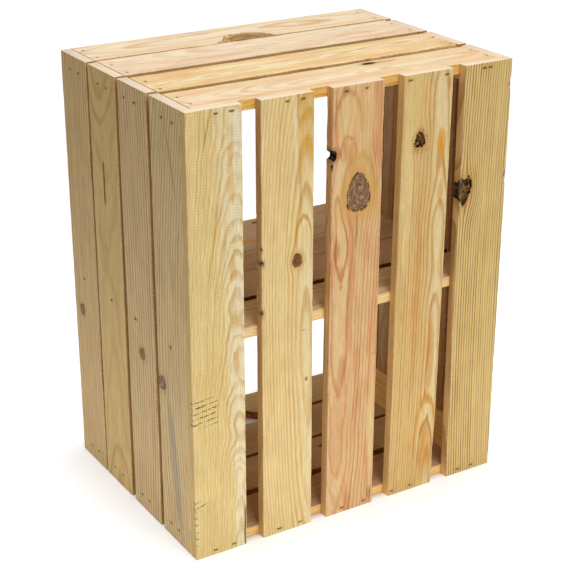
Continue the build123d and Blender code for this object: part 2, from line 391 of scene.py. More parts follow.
# Boards that the photo shows well enough to follow, knot by knot
SEEN_LOOKS = {
    "front_slat_1": replace(
        FRONT, early="e6cd90", late="bb8632", warm="e2c07c", contrast=0.5, ring=2.1, ripple=0.35,
        saw=0.8, sharp=0.3, flank="d0ab6c", flank_strength=0.5, late_flank="a8804a", gold="c8922c",
        pale="ecdfb8", figure=0.75, figure_start=0.88, unequal=2.2, wander=1.8, wave=42,
        pith=((56, 14), (55, 34), (54, 54)),
        patches=(
            Patch(222, 53, 16, 5, "d39a4a", 0.7), Patch(330, 49, 14, 5, "d29a48", 0.7),
            Patch(414, 50, 14, 6, "d6a24c", 0.6), Patch(453, 49, 24, 4, "d6a24c", 0.75, 0.15),
            Patch(480, 42, 30, 2.0, "d6a24c", 0.6, 0.05), Patch(197, 53, 13, 4.5, "e6dcc4", 0.4),
            Patch(385, 55, 24, 5, "e8e0cc", 0.4), Patch(465, 57, 30, 6, "e6dfcb"),
            Patch(300, 57, 26, 4.5, "e8e0cc", 0.4), Patch(355, 41, 60, 2.2, "c9953f", 0.3, 0.06),
            Patch(482, 24, 24, 1.3, "b4822e", 0.8, 0.23, ragged=0.1),
            Patch(366, 29, 65, 1.2, "b4822e", 0.7, 0.15, ragged=0.1),
        ),
        scuffs=(Scuffs(176, 13, 18, 20, 6.3, 1.0, 0.02), Scuffs(67, 6, 6, 9, 7.0, 0.8, 0.05),
                Scuffs(35, 1.5, 34, 2.0, 8.5, 0.8)),
        splits=(Split(0, 60.6, 50, 0.55, 6.0, 0.01),),
    ),
    "front_slat_2": replace(
        FRONT, early="ebd196", late="bb8030", warm="e2bc76", contrast=0.55, ring=3.5, ripple=0.15,
        sharp=0.3, unequal=0.9, gold="cf9a3c", pale="ecdcb2", figure=0.4, flank="d9a668",
        pith=((62, 22), (54, 16), (56, 36)), wander=2, wave=190,
        knots=(
            Knot(322.7, 42.4, 6.0, 1.3, halo_strength=0.6, **TIGHT_KNOT),
            Knot(343, -0.8, 2.0, 1.8, **EDGE_KNOT), Knot(327, -0.6, 3.0, 1.4, **EDGE_KNOT),
            Knot(271, -0.8, 2.8, 1.7, **EDGE_KNOT),
        ),
        patches=(
            Patch(470, 54, 92, 11, "d6a642", 0.8, ragged=0.08, edge=0.2, arch="c08e34"),
            Patch(400, 46, 50, 2.4, "c8953e", 0.6, -0.03),
            Patch(343, 50.5, 27, 9.0, "ead49c", ragged=0.06, arch="c48e2c"),
            Patch(183, 54.5, 3.2, 2.4, "7b5a34", 1.0, ragged=0.1),
            Patch(455, 41, 40, 2.5, "efe2bd", 0.6),
        ),
        scuffs=(Scuffs(243, 32, 2.4, 30, 9.0, 0.5, 0.02), Scuffs(191, 33, 1.6, 9, 6.0, 0.9, 0.01)),
        chips=(Chip(0, 343, 5, 2.2), Chip(0, 327, 7, 2.6), Chip(0, 300, 4, 1.6), Chip(0, 271, 8, 2.2)),
    ),
    "front_slat_3": replace(
        FRONT, early="e0bb86", late="b26334", warm="d89062", warmth=0.65, contrast=0.72, ring=3.8,
        unequal=1.0, gold="c98644", pale="e4c592", figure=0.7, saw=0.25, sharp=0.5,
        pith=((10, 27), (13, 15), (17, 16)), wander=3.2, wave=90,
        knots=(
            Knot(384, 33.5, 14.5, 1.5, rough=0.06, halo_strength=0.7, uneven=0.12, crumbs=0.05,
                 taper=0.28, **BARK_KNOT),
            # Near-black walls of the bite and the dark bit of edge beside it: painted shade
            Knot(428.5, 0.8, 5.3, 1.15, narrows=0.3, **HOLE_SHADE),
            Knot(416, -0.5, 1.6, 2.6, **HOLE_SHADE),
        ),
        patches=(
            Patch(462, 19, 31, 15.5, "e2bf82", ragged=0.08, arch="c48348"),
            Patch(428, 20, 17, 9.5, "cf8f54", 0.8, ragged=0.12, arch="b97840"),
            Patch(384, 33.5, 40, 20, "e8ca8c", 0.6, ragged=0.08, arch="c99a52"),
            Patch(465, 34, 55, 26, "e9ca8c", 0.45), Patch(323, 7, 14, 6, "b5632e", 0.65),
            Patch(183, 18, 22, 7, "c0703c", 0.6), Patch(107, 11, 60, 12, "cb8350"),
            Patch(192, 59, 1.6, 4, "6f5535", 0.6), Patch(14, 58, 10, 4, "5e5138"),
            Patch(250, 25, 60, 5, "c47c48", 0.45), Patch(120, 58, 110, 4, "ecd394", 0.6),
        ),
        splits=(Split(318, 31.5, 52, 0.35, 1.2, 0.02),),
    ),
    "front_slat_4": replace(
        FRONT, early="ddbc7e", late="ac6824", warm="dcaa5e", ring=3.3, ripple=0.2, saw=0.3,
        sharp=0.45, gold="cc8c38", pale="e6d4a2", figure=0.7,
        pith=((53, 6), (54, 17), (50, 26)), wave=120,
        knots=(
            Knot(429.5, 23, 6.6, 1.35, cracks=0.4, bend=0.9, crumbs=0.7, scatter=1.0, cleft=-0.5,
                 **BLACK_KNOT),
        ),
        patches=(
            Patch(422, 51.5, 16, 6.8, "e0a040", 0.9, ragged=0.12, edge=0.2),
            Patch(366, 53.5, 15, 5, "cf9840", 0.7, ragged=0.2),
            Patch(58, 49.5, 57, 15, "e6cf98", 0.7, ragged=0.06, arch="c88c38"),
            Patch(40, 50, 44, 9.5, "cc9244", 0.95, ragged=0.06, edge=0.2, arch="b4742a"),
            Patch(170, 51, 60, 5.5, "c88436", 0.75, ragged=0.25, edge=0.4),
            Patch(485, 59, 8, 3, "c2802f", 0.7), Patch(45, 66, 45, 2.2, "54493b", 0.6, ragged=0.9),
            Patch(250, 27, 150, 6, "c87e3c", ragged=0.3), Patch(380, 9, 110, 8, "ecd89c", 0.6),
            Patch(476, 14, 50, 13, "e4cc8a", 0.6),
        ),
        scuffs=(Scuffs(44, 66, 40, 2.4, 7.5, 0.9),),
        chips=(Chip(1, 20, 30, 2.6), Chip(1, 55, 20, 1.8), Chip(1, 3, 6, 5.0)),
    ),
    "front_slat_5": replace(
        FRONT, early="e0c382", late="8c5a20", warm="cfa050", warmth=0.15, contrast=0.9, ring=3.45,
        ripple=0.05, saw=0.3, sharp=0.3, fibre=0.7, unequal=0.5, figure=0.0,
        pith=((-70, 12), (-75, 14), (-70, 12)), wander=2, wave=260,
        knots=(
            Knot(357, 4.6, 11.0, rough=0.15, bend=0.8, cracks=0.5, cleft=0.5, crumbs=0.2,
                 **BLACK_KNOT),
            Knot(369, 63, 2.4, 1.5, **BLACK_KNOT),
        ),
        patches=(
            Patch(473, 61.5, 5, 2, "8a6232", 0.8), Patch(200, 63, 150, 1.3, "8a744f", 0.4, ragged=0.9),
        ),
        chips=(Chip(1, 473, 8, 1.8), Chip(0, 190, 10, 1.6), Chip(1, 365, 7, 1.6)),
    ),
    "left_slat_1": replace(
        SIDE, early="dcbd88", late="9c7244", contrast=0.7, ring=5.4, ripple=0.2, unequal=0.9,
        pith=((110, 30), (115, 34), (110, 30)),
        knots=(Knot(195, 44.5, 6.4, 1.15, **SIDE_KNOT),),
        scuffs=(Scuffs(80, 56, 1.4, 9, 6, 0.5, 0.25),),
    ),
    "left_slat_2": replace(
        SIDE, early="ddbd80", late="a98244", contrast=0.5, figure=0.0, ripple=0.3,
        pith=((34, 120), (30, 130), (34, 120)),
        splits=(Split(350, 37.2, 50, 1.3, 10.0),),
    ),
    "left_slat_3": replace(
        SIDE, early="e2c492", late="966b42", ring=5.6, ripple=0.2, unequal=0.9,
        pith=((-90, 22), (-95, 30), (-90, 24)),
        knots=(Knot(201, 31, 6.8, 1.05, **SIDE_KNOT),),
        patches=(Patch(239.6, 43.9, 2.5, 0.8, "4d3a28", 0.8),),
    ),
    "left_slat_4": replace(
        SIDE, early="e4c894", late="9a7040", contrast=0.75, ring=5.0, ripple=0.2, unequal=0.9,
        pith=((100, 40), (110, 44), (90, 30)),
        knots=(Knot(186, 56.8, 7.4, 1.05, **RINGED_KNOT), Knot(235.5, 34, 1.4, 1.5, **TIGHT_KNOT)),
        patches=(
            Patch(88, 32, 110, 9, "96928a", 0.7, 0.12),
            Patch(440, 21, 50, 1.8, "a06a42", 0.6, 0.26, ragged=0.1),
            Patch(470, 50, 40, 6, "b5a988", 0.3),
        ),
    ),
    "top_board_1": replace(
        TOP, early="f0ddb8", late="dfa873", warm="edbf9a", warmth=0.55, flank="d8a85c", ring=5.0,
        pith=((30, 50), (34, 44), (28, 40)), wander=6, wave=220,
        chips=(Chip(0, 139, 12, 3.4),),
    ),
    "top_board_2": replace(
        TOP, early="eed8b6", late="d9a478", warm="e8ba9c", warmth=0.7, contrast=0.4,
        pith=((70, 70), (60, 60), (80, 60)),
    ),
    "top_board_3": replace(
        TOP, early="f1dba8", late="d99a54", warm="e8ad78", warmth=0.5, contrast=0.75, ring=4.6,
        pith=((20, 16), (30, 10), (44, 22)), wander=7, wave=120,
        patches=(
            Patch(130, 46, 60, 3.5, "f6e9cc", 0.7, -0.04), Patch(375, 12, 22, 10, "d3885a"),
            Patch(340, 40, 40, 5, "e8c074"),
        ),
        chips=(Chip(0, 300, 90, 2.2), Chip(0, 365, 20, 3.0)),
    ),
    "top_board_4": replace(
        TOP, early="efd6ac", late="d89a58", warm="ebb78c", warmth=0.5, contrast=0.5, ring=3.6,
        flank="efb850", late_flank="96581a", flank_strength=0.85,
        pith=((20, 36), (26, 20), (30, 14)), wander=5, wave=160,
        # Near-black walls of the knot hole: painted shade
        knots=(Knot(*LOST_KNOT, 3.4, 2.4, bend=0.9, narrows=0.0, **HOLE_SHADE),),
        patches=(Patch(264, 50, 16, 4, "d0853a", 0.8), Patch(60, 8, 70, 4, "dc9266")),
    ),
    # Its near-black flanks are painted shade of the gaps beside it
    "shelf_board_3": replace(PAINTED_SHADE_EDGES, pith=((80, 30), (86, 34), (80, 28)), contrast=0.4),
    # Front shelf board lighter all over, with pale gold flanks: painted light where light falls onto
    # it between the front slats
    "shelf_board_4": replace(
        INNER, early="f0d09c", late="c08a50", warm="e2b078", contrast=0.5, flank="ffe0a4",
        late_flank="dcae68", pith=((20, 44), (26, 50), (22, 44)),
    ),
}


def inner_look(name, width, length):
    """A plausible board, where the photo shows too little to follow."""
    draw = np.random.default_rng(seed_of(name))
    family = INNER
    if "slat" in name:
        family = replace(SIDE, early="b98b50", late="885826")
    elif name in ("base_board_1", "base_board_2", "base_board_3"):
        # Darker flanks of the inner base boards: painted shade in the gaps between them
        family = replace(
            PAINTED_SHADE_EDGES, early="cbaa78", late="9c7444", flank="9a6026", late_flank="6a3c12"
        )
    pith_v = draw.uniform(-60, width + 60)
    depth = draw.uniform(14, 60)
    pith = tuple((pith_v + draw.uniform(-8, 8), depth + draw.uniform(-8, 8)) for _ in range(3))
    knots = tuple(
        Knot(draw.uniform(0.1, 0.9) * length, draw.uniform(0.15, 0.85) * width,
             draw.uniform(2.2, 5.5), draw.uniform(1.1, 1.7), **TIGHT_KNOT)
        for _ in range(draw.integers(0, 3))
    )
    return replace(family, pith=pith, knots=knots, ring=draw.uniform(2.6, 4.2),
                   warmth=draw.uniform(0.15, 0.5), contrast=draw.uniform(0.3, 0.6))


# ---- mesh: a fine grid round every piece, with worn arrises and relief ----
def grid_lines(length, gap, extra=()):
    """Places of grid lines from 0 to length: close at both ends and exact at extra places."""
    lines = [0.0, length]
    wanted = [x for x in sorted(extra) if 0 < x < length]
    wanted += [x for edge in EDGE_LINES for x in (edge, length - edge)]
    for place in wanted:
        if min(abs(place - line) for line in lines) > LEAST_GAP:
            lines.append(place)
    fixed = list(lines)
    for place in np.linspace(0, length, max(1, round(length / gap)) + 1):
        if min(abs(place - line) for line in fixed) > gap / 3:
            lines.append(place)
    return np.array(sorted(lines))


def fine_lines(middle, reach):
    return list(np.arange(middle - reach, middle + reach, FINE_GAP))


def waves(draw, places, length, count=5):
    """Smooth random curve of about -1 to 1 over an array of places."""
    total = np.zeros_like(places, dtype=float)
    for _ in range(count):
        turn = places * 2 * math.pi / (length * draw.uniform(0.6, 1.8))
        total += np.sin(turn + draw.uniform(0, 6.28))
    return total / count * 1.4


def wave_field(draw, u, s, length, width, count=7):
    """Smooth random surface of about -1 to 1 over a grid of places."""
    total = np.zeros((len(u), len(s)))
    for _ in range(count):
        ku = 2 * math.pi / (length * draw.uniform(0.6, 2.0)) * draw.choice((-1, 1))
        ks = 2 * math.pi / (width * draw.uniform(0.6, 2.0))
        total += np.sin(u[:, None] * ku + s[None, :] * ks + draw.uniform(0, 6.28))
    return total / count * 1.6


class Section:
    """The loop of grid lines round a piece's section: side, distance along it, and direction."""

    def __init__(self, outline, face_lines):
        self.corners = np.array(outline, float)
        count = len(self.corners)
        steps = np.roll(self.corners, -1, axis=0) - self.corners
        self.lengths = np.hypot(*steps.T)
        self.directions = steps / self.lengths[:, None]
        self.normals = np.stack((self.directions[:, 1], -self.directions[:, 0]), axis=1)
        before = -np.roll(self.directions, 1, axis=0)
        self.angles = np.arccos((before * self.directions).sum(axis=1))
        bisectors = before + self.directions
        self.bisectors = bisectors / np.hypot(*bisectors.T)[:, None]
        side, start = [], []
        for number in range(count):
            lines = grid_lines(self.lengths[number], GAP_ACROSS, face_lines if number == 0 else ())
            side += [number] * (len(lines) - 1)
            start += list(lines[:-1])
        self.side, self.start = np.array(side), np.array(start)
        self.rest = self.lengths[self.side] - self.start

    def rounded(self, radii):
        """Points and outward normals of the loop at every station, for its arris radii."""
        side = self.side
        at = self.corners[side] + self.directions[side] * self.start[:, None]
        points = np.repeat(at[None], radii.shape[1], axis=0)
        normals = np.repeat(self.normals[side][None], radii.shape[1], axis=0)
        next_corner = (side + 1) % len(self.corners)
        for corner, reach, turn in ((side, self.start, -1.0), (next_corner, self.rest, 1.0)):
            radius = radii[corner].T
            half = self.angles[corner] / 2
            tangent = radius / np.tan(half)
            share = np.clip((tangent - reach) / tangent, 0, 1)
            angle = share * (math.pi / 2 - half)
            out = (np.cos(angle)[..., None] * self.normals[side]
                   + turn * np.sin(angle)[..., None] * self.directions[side])
            centre = self.corners[corner] + self.bisectors[corner] * (radius / np.sin(half))[..., None]
            on_arc = (share > 0)[..., None]
            points = np.where(on_arc, centre + out * radius[..., None], points)
            normals = np.where(on_arc, out, normals)
        return points, normals


def arris_radii(timber, look, draw, stations, corner_count):
    """Radius of every arris at every station, with small knocks at random and the named chips."""
    radii = np.empty((corner_count, len(stations)))
    for corner in range(corner_count):
        radius = ARRIS_RADIUS * (1 + 0.35 * waves(draw, stations, 30))
        for _ in range(draw.poisson(timber.length / 110)):
            place, reach = draw.uniform(0, timber.length), draw.uniform(2, 7)
            radius += draw.uniform(0.3, 1.1) * np.exp(-((stations - place) / reach) ** 2)
        for chip in [chip for chip in look.chips if chip.corner == corner]:
            bump = np.exp(-(np.abs(stations - chip.u) / chip.length) ** 4)
            radius += chip.radius * bump * (1 + 0.35 * waves(draw, stations, 9))
        radii[corner] = np.clip(radius, 0.2, 5.0)
    return radii


def seat_relief(timber, draw, u, v):
    """How far the outer face is pressed in round its staples, and how dark it is there."""
    relief = np.zeros((len(u), len(v)))
    mark = np.zeros_like(relief)
    for seat_u, seat_v in timber.seats:
        half = draw.uniform(*SEAT_HALF_LENGTH)
        shift = draw.uniform(-1, 1) * (SEAT_HALF_LENGTH[1] - half) * 0.6
        du = np.abs(u - seat_u)[:, None]
        dv = np.abs(v - seat_v - shift)[None, :]
        outside = np.maximum(du - SEAT_HALF_WIDTH, dv - half)
        beyond = np.clip(outside, 0, None)
        relief -= SEAT_DEPTH * np.clip(0.15 - outside, 0, 0.3) / 0.3
        relief -= 0.12 * np.exp(-beyond / 0.8)
        mark = np.maximum(mark, draw.uniform(0.6, 1.0) * np.exp(-beyond / 0.5))
    return relief, mark


def seat_lines(timber):
    """Grid lines that a board needs along and across its length for the seats of its staples."""
    along, across = [], []
    for seat_u, seat_v in timber.seats:
        along += [seat_u + side * step for side in (-1, 1) for step in (0.6, 0.9, 2.0)]
        across += [seat_v + side * step for side in (-1, 1) for step in (0.9, 1.7, 2.3, 2.9, 3.6)]
    return along, across


def split_relief(look, draw, u, v):
    """Cracks in the outer face; one that starts at the board's end is open there."""
    relief = np.zeros((len(u), len(v)))
    for split in look.splits:
        centre = split.v + split.drift * (u - split.u) + 0.25 * waves(draw, u, 25)
        run = (u - split.u) / split.length
        taper = np.clip(np.minimum(run * 6 if split.u > 0 else 1.0, (1 - run) * 3), 0, 1)
        taper = np.where((run >= 0) & (run <= 1), taper, 0)
        across = np.abs(v[None, :] - centre[:, None])
        relief -= split.depth * taper[:, None] * np.clip(1.6 - across / split.width, 0, 1)
    return relief


def split_lines(look):
    steps = (-1.8, -1.2, -0.6, 0.0, 0.6, 1.2, 1.8)
    return [split.v + step * split.width for split in look.splits for step in steps]


def knot_relief(look, draw, u, v):
    """Rough surface of the big knots."""
    relief = np.zeros((len(u), len(v)))
    for knot in [knot for knot in look.knots if knot.rough]:
        along = (u - knot.u)[:, None] / (knot.size * knot.stretch)
        far = np.hypot(along, (v - knot.v)[None, :] / knot.size)
        inside = np.clip((1.15 - far) / 0.3, 0, 1)
        bumps = wave_field(draw, u, v, 9, 7, count=14) - 0.4
        groove = np.exp(-((far - 1.0) / 0.12) ** 2)
        relief += knot.rough * inside * bumps - knot.rough * 0.9 * groove
    return relief


def timber_mesh(timber, look):
    """Mesh of one piece of timber in the crate's frame, with its marks and wear as attributes."""
    draw = np.random.default_rng(seed_of(timber.name))
    along, across = seat_lines(timber)
    for knot in [knot for knot in look.knots if knot.rough]:
        along += fine_lines(knot.u, knot.size * knot.stretch * 1.2)
        across += fine_lines(knot.v, knot.size * 1.2)
    stations = grid_lines(timber.length, GAP_ALONG, along)
    section = Section(timber.outline, across + split_lines(look))
    radii = arris_radii(timber, look, draw, stations, len(section.corners))
    points, normals = section.rounded(radii)

    relief = np.zeros(points.shape[:2])
    mark = np.zeros_like(relief)
    for number in range(len(section.corners)):
        on_side = section.side == number
        lines = section.start[on_side]
        relief[:, on_side] = WAVINESS * wave_field(draw, stations, lines, 45, 25)
        if number == 0:
            pressed, darkening = seat_relief(timber, draw, stations, lines)
            opened = split_relief(look, draw, stations, lines)
            # Staple seats get their dark stain; the splits get painted shade, as dark as they are deep
            mark[:, on_side] = np.maximum(darkening, np.clip(-opened, 0, 1) * 0.9)
            relief[:, on_side] += pressed + opened + knot_relief(look, draw, stations, lines)
    from_end = np.minimum(stations, timber.length - stations)
    dip = np.clip(END_RADIUS - from_end, 0, END_RADIUS)
    relief -= (END_RADIUS - np.sqrt(END_RADIUS ** 2 - dip ** 2))[:, None]

    points = points + normals * relief[..., None]
    mesh = loop_mesh(timber, timber.name, stations[:, None], points[..., 0], points[..., 1])
    to_arris = np.minimum(section.start, section.rest)[None, :]
    at_end = np.repeat((from_end < 0.01)[:, None], points.shape[1], axis=1)
    set_attribute(mesh, "mark", mark)
    set_attribute(mesh, "wear", np.exp(-to_arris / (0.6 + radii.mean(axis=0)[:, None])))
    set_attribute(mesh, "end", at_end)
    return mesh


def loop_mesh(timber, name, u, v, w):
    """Closed mesh through rows of loops of timber coordinates, with a flat cap at both ends."""
    u, v, w = np.broadcast_arrays(u, v, w)
    index = np.arange(v.size).reshape(v.shape)
    across = np.roll(index, -1, axis=1)
    quads = np.stack((index[:-1], across[:-1], across[1:], index[1:]), axis=-1).reshape(-1, 4)
    faces = [*quads.tolist(), index[0][::-1].tolist(), index[-1].tolist()]
    if timber.is_mirrored:
        faces = [face[::-1] for face in faces]
    mesh = bpy.data.meshes.new(name)
    mesh.from_pydata(timber.to_crate(u, v, w).reshape(-1, 3).tolist(), [], faces)
    return mesh


def finish_mesh(mesh, timber):
    """Stores the timber coordinates of every point and sets the shading."""
    coordinates = np.stack(timber.from_crate(mesh_points(mesh)), axis=1)
    set_attribute(mesh, "timber", coordinates, "FLOAT_VECTOR", "vector")
    mesh.shade_smooth()
    mesh.set_sharp_from_angle(angle=math.radians(SHARP_ANGLE))


# ---- holes, cut with ragged cutters ----
def drum_cutter(timber, draw, centre, radii, ragged, flare):
    """Upright drum through a board, a little wider at both faces."""
    turn = np.linspace(0, 2 * math.pi, 96, endpoint=False)
    levels = np.array((-3.0, 0.0, 0.5, 1.3, 3.5, 6.0, 8.5, 10.3, 11.1, 11.6, 14.5))
    near_face = np.minimum(np.abs(levels), np.abs(timber.depth - levels))
    outside = (levels < 0) | (levels > timber.depth)
    widen = np.where(outside, flare * 1.6, flare * np.clip(1 - near_face / 1.3, 0, 1))
    rough = waves(draw, turn * 10, 6)[None] + 0.5 * wave_field(draw, levels, turn * 10, 5, 4)
    grown = widen[:, None] + ragged * rough
    u = (radii[0] + grown) * np.cos(turn) + centre[0]
    v = (radii[1] + grown) * np.sin(turn) + centre[1]
    return loop_mesh(timber, "cutter", u, v, levels[:, None])


def torn_cutter(timber, draw, outline, narrowing, ragged):
    """Ragged prism that breaks a piece right out of a board and narrows towards its inner face."""
    corners = np.array([*outline, outline[0]], float)
    run = np.concatenate(([0], np.cumsum(np.hypot(*np.diff(corners, axis=0).T))))
    steps = np.linspace(0, run[-1], 90, endpoint=False)
    u, v = (np.interp(steps, run, corners[:, axis]) for axis in (0, 1))
    levels = np.linspace(-2.5, timber.depth + 2.5, 22)
    middle_u, middle_v = u.max(), v.min()
    shrink = 1 - narrowing * np.clip(levels, 0, None)[:, None] / timber.depth
    rough = ragged * wave_field(draw, levels, steps, 6, 5, count=16)
    u = middle_u + (u - middle_u) * shrink + rough
    v = middle_v + (v - middle_v) * shrink + rough * 0.6
    return loop_mesh(timber, "cutter", u, v, levels[:, None])


def cut(mesh, cutters):
    """The mesh less the cutters."""
    board = add_object("board", mesh)
    tools = [add_object("tool", cutter) for cutter in cutters]
    for tool in tools:
        modifier = board.modifiers.new("cut", "BOOLEAN")
        modifier.operation = "DIFFERENCE"
        modifier.solver = "EXACT"
        modifier.object = tool
    graph = bpy.context.evaluated_depsgraph_get()
    result = bpy.data.meshes.new_from_object(board.evaluated_get(graph), depsgraph=graph)
    for used in (board, *tools):
        bpy.data.objects.remove(used)
    return result


def opening_middle(name):
    """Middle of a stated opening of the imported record."""
    openings = frame["record"]["physics"]["openings"]
    low, high = next(opening["box_m"] for opening in openings if opening["name"] == name)
    return (Vector(low) + Vector(high)) / 2


def hole_cutters(timber, draw):
    """Cutters of the holes in a board, by its name; most boards have none."""
    if timber.name in ("top_board_1", "base_board_1"):
        end = timber.name.split("_")[0]
        middle = np.array([opening_middle(f"{end}_hand_hole")])
        u = float(timber.from_crate(middle)[0][0])
        centre = (u, -HAND_HOLE_SETBACK)
        radii = (HAND_HOLE_RADIUS, HAND_HOLE_RADIUS)
        cutters = [drum_cutter(timber, draw, centre, radii, ragged=0.12, flare=0.7)]
        if end == "top":
            outline = [(u + along, across) for along, across in BROKEN_OUT]
            cutters.append(torn_cutter(timber, draw, outline, narrowing=0.22, ragged=0.8))
        return cutters
    if timber.name == "top_board_4":
        return [drum_cutter(timber, draw, LOST_KNOT, LOST_KNOT_RADII, ragged=0.35, flare=0.3)]
    if timber.name == "front_slat_3":
        return [drum_cutter(timber, draw, BITE, BITE_RADII, ragged=0.5, flare=0.4)]
    return []


def build_timber(timber, look):
    """Object of one piece of timber, with its holes."""
    mesh = timber_mesh(timber, look)
    draw = np.random.default_rng(seed_of(timber.name) + 1)
    cutters = hole_cutters(timber, draw)
    if cutters:
        mesh = cut(mesh, cutters)
    finish_mesh(mesh, timber)
    return add_object(f"{timber.name}_timber", mesh)


# ---- materials ----
def linear(colour):
    """Linear colour of an sRGB hex string."""
    channels = (int(colour[i:i + 2], 16) / 255 for i in (0, 2, 4))
    return (*(c / 12.92 if c <= 0.04045 else ((c + 0.055) / 1.055) ** 2.4 for c in channels), 1.0)


def feed(tree, socket, value):
    """Sets a socket to a number, a vector or a hex colour, or joins a wire to it."""
    if isinstance(value, Wire):
        tree.links.new(value.socket, socket)
    else:
        socket.default_value = linear(value) if isinstance(value, str) else value


def node_wire(tree, kind, inputs=(), output=0, **settings):
    """Wire out of a new shader node; inputs are pairs of a socket's name or number and a value."""
    node = tree.nodes.new(f"ShaderNode{kind}")
    for setting, value in settings.items():
        setattr(node, setting, value)
    for socket, value in inputs:
        feed(tree, node.inputs[socket], value)
    return Wire(tree, node.outputs[output])


def math_method(operation):
    """Method of a wire that takes it through a Math node, with another value if it needs one."""
    return lambda wire, *others: wire.math(operation, *others)


class Wire:
    """A value on its way through a node tree, so that formulas read as arithmetic."""

    def __init__(self, tree, socket):
        self.tree, self.socket = tree, socket

    def math(self, operation, *others):
        return node_wire(self.tree, "Math", enumerate((self, *others)), operation=operation)

    __add__ = __radd__ = math_method("ADD")
    __sub__ = math_method("SUBTRACT")
    __mul__ = __rmul__ = math_method("MULTIPLY")
    __truediv__ = math_method("DIVIDE")
    __abs__ = math_method("ABSOLUTE")
    most = math_method("MAXIMUM")
    least = math_method("MINIMUM")

    def __rsub__(self, other):
        return self * -1.0 + other

    def smooth(self, low, high):
        """0 below low, 1 above high and a smooth step between them."""
        inputs = enumerate((self, low, high, 0.0, 1.0))
        return node_wire(self.tree, "MapRange", inputs, interpolation_type="SMOOTHSTEP")

    def fade(self, low, high):
        """1 below low, 0 above high and a smooth step between them."""
        return 1.0 - self.smooth(low, high)


def distance(a, b):
    return (a * a + b * b).math("SQRT")


class Paint:
    """A material under construction, with the textures and mixes that the formulas use."""

    def __init__(self, name):
        self.material = bpy.data.materials.new(name)
        self.material.use_nodes = True
        self.tree = self.material.node_tree
        self.shader = self.tree.nodes["Principled BSDF"]

    def set(self, name, value):
        """Sets a socket of the shader, or joins a wire to it."""
        feed(self.tree, self.shader.inputs[name], value)

    def value(self, name):
        return node_wire(self.tree, "Attribute", output="Fac", attribute_name=name)

    def parts(self, kind, output, **settings):
        """The three coordinates that a new node gives out."""
        vector = node_wire(self.tree, kind, output=output, **settings)
        node = self.tree.nodes.new("ShaderNodeSeparateXYZ")
        feed(self.tree, node.inputs[0], vector)
        return [Wire(self.tree, socket) for socket in node.outputs]

    def noise(self, u, v=0.0, w=0.0, detail=1.0):
        """Smooth noise about 0.5 whose features are about one unit long."""
        place = node_wire(self.tree, "CombineXYZ", enumerate((u, v, w)))
        inputs = (("Scale", 1.0), ("Detail", detail), ("Vector", place))
        return node_wire(self.tree, "TexNoise", inputs, "Fac")

    def sway(self, u, v=0.0, w=0.0, detail=1.0):
        """The same noise about 0."""
        return self.noise(u, v, w, detail) - 0.5

    def chance(self, number):
        """Random value from 0 to 1 for a whole number."""
        return node_wire(self.tree, "TexWhiteNoise", [("W", number)], "Value", noise_dimensions="1D")

    def mix(self, share, low, high):
        """Colour between two colours, each a hex string or a wire."""
        return node_wire(self.tree, "Mix", ((0, share), (6, low), (7, high)), 2, data_type="RGBA")

    def brighten(self, colour, factor):
        """The colour times a wire."""
        inputs = ((0, colour), ("Scale", factor))
        return node_wire(self.tree, "VectorMath", inputs, operation="SCALE")

    def bump(self, height, depth):
        """Turns a height, in units of depth metres, into the shader's normal."""
        inputs = (("Strength", 1.0), ("Distance", depth), ("Height", height))
        self.set("Normal", node_wire(self.tree, "Bump", inputs))


def curve_through(u, length, first, middle, last):
    """Parabola through three values at the start, middle and end of a length, as a formula of u."""
    share = u * (1 / length)
    bend = 2 * (first - 2 * middle + last)
    slope = 4 * middle - 3 * first - last
    return share * (share * bend + slope) + first


def knot_distance(paint, knot, u, v, w):
    """Distance from a knot's middle in units of its radius, with an uneven outline."""
    along = (u - knot.u) * (1 / (knot.size * knot.stretch))
    across = (v - knot.v) * (1 / knot.size)
    along = along - abs(across) * knot.cleft
    across = across * (along * knot.taper + 1.0)
    uneven = paint.sway(u * (0.8 / knot.size), v * (1.2 / knot.size), knot.u) * knot.uneven
    crumbs = paint.sway(u * 0.45, v * 0.6, knot.v, detail=2.0) * knot.crumbs
    narrowing = w.least(6.0) * (0.45 * knot.narrows / knot.size)
    return distance(along, across) + uneven + crumbs + narrowing


def bent_across(knot, u, v):
    """v, drawn towards the knot's middle near it, so that the rings pass round the knot."""
    along = (u - knot.u) * (1 / (knot.size * knot.stretch * 3.2))
    across = (v - knot.v) * (1 / (knot.size * 3.0))
    near = distance(along, across).fade(0.0, 1.0)
    return v - (v - knot.v) * near * knot.bend


def ring_age(paint, look, length, u, v, w, seed):
    """Number of growth rings from the pith, and how level they lie with the face (0 to 1)."""
    for knot in look.knots:
        v = bent_across(knot, u, v)
    pith_v = curve_through(u, length, *(p[0] for p in look.pith))
    pith_depth = curve_through(u, length, *(p[1] for p in look.pith))
    slow = paint.sway(u * (1 / look.wave), v * 0.012, seed)
    quick = paint.sway(u * 0.05, v * 0.11, w * 0.11 + seed, detail=2.0)
    tooth = paint.sway(u * 0.22, v * 0.16, seed + 7.0)
    down = w - pith_depth + slow * (look.wander * 4)
    radius = distance(v - pith_v, down)
    radius = radius + quick * (look.ripple * 4) + tooth * (look.ripple * 1.5)
    uneven = paint.sway(radius * (0.3 / look.ring), seed)
    level = abs(down) / radius.most(1.0)
    return radius * (1 / look.ring) + uneven * look.unequal, level


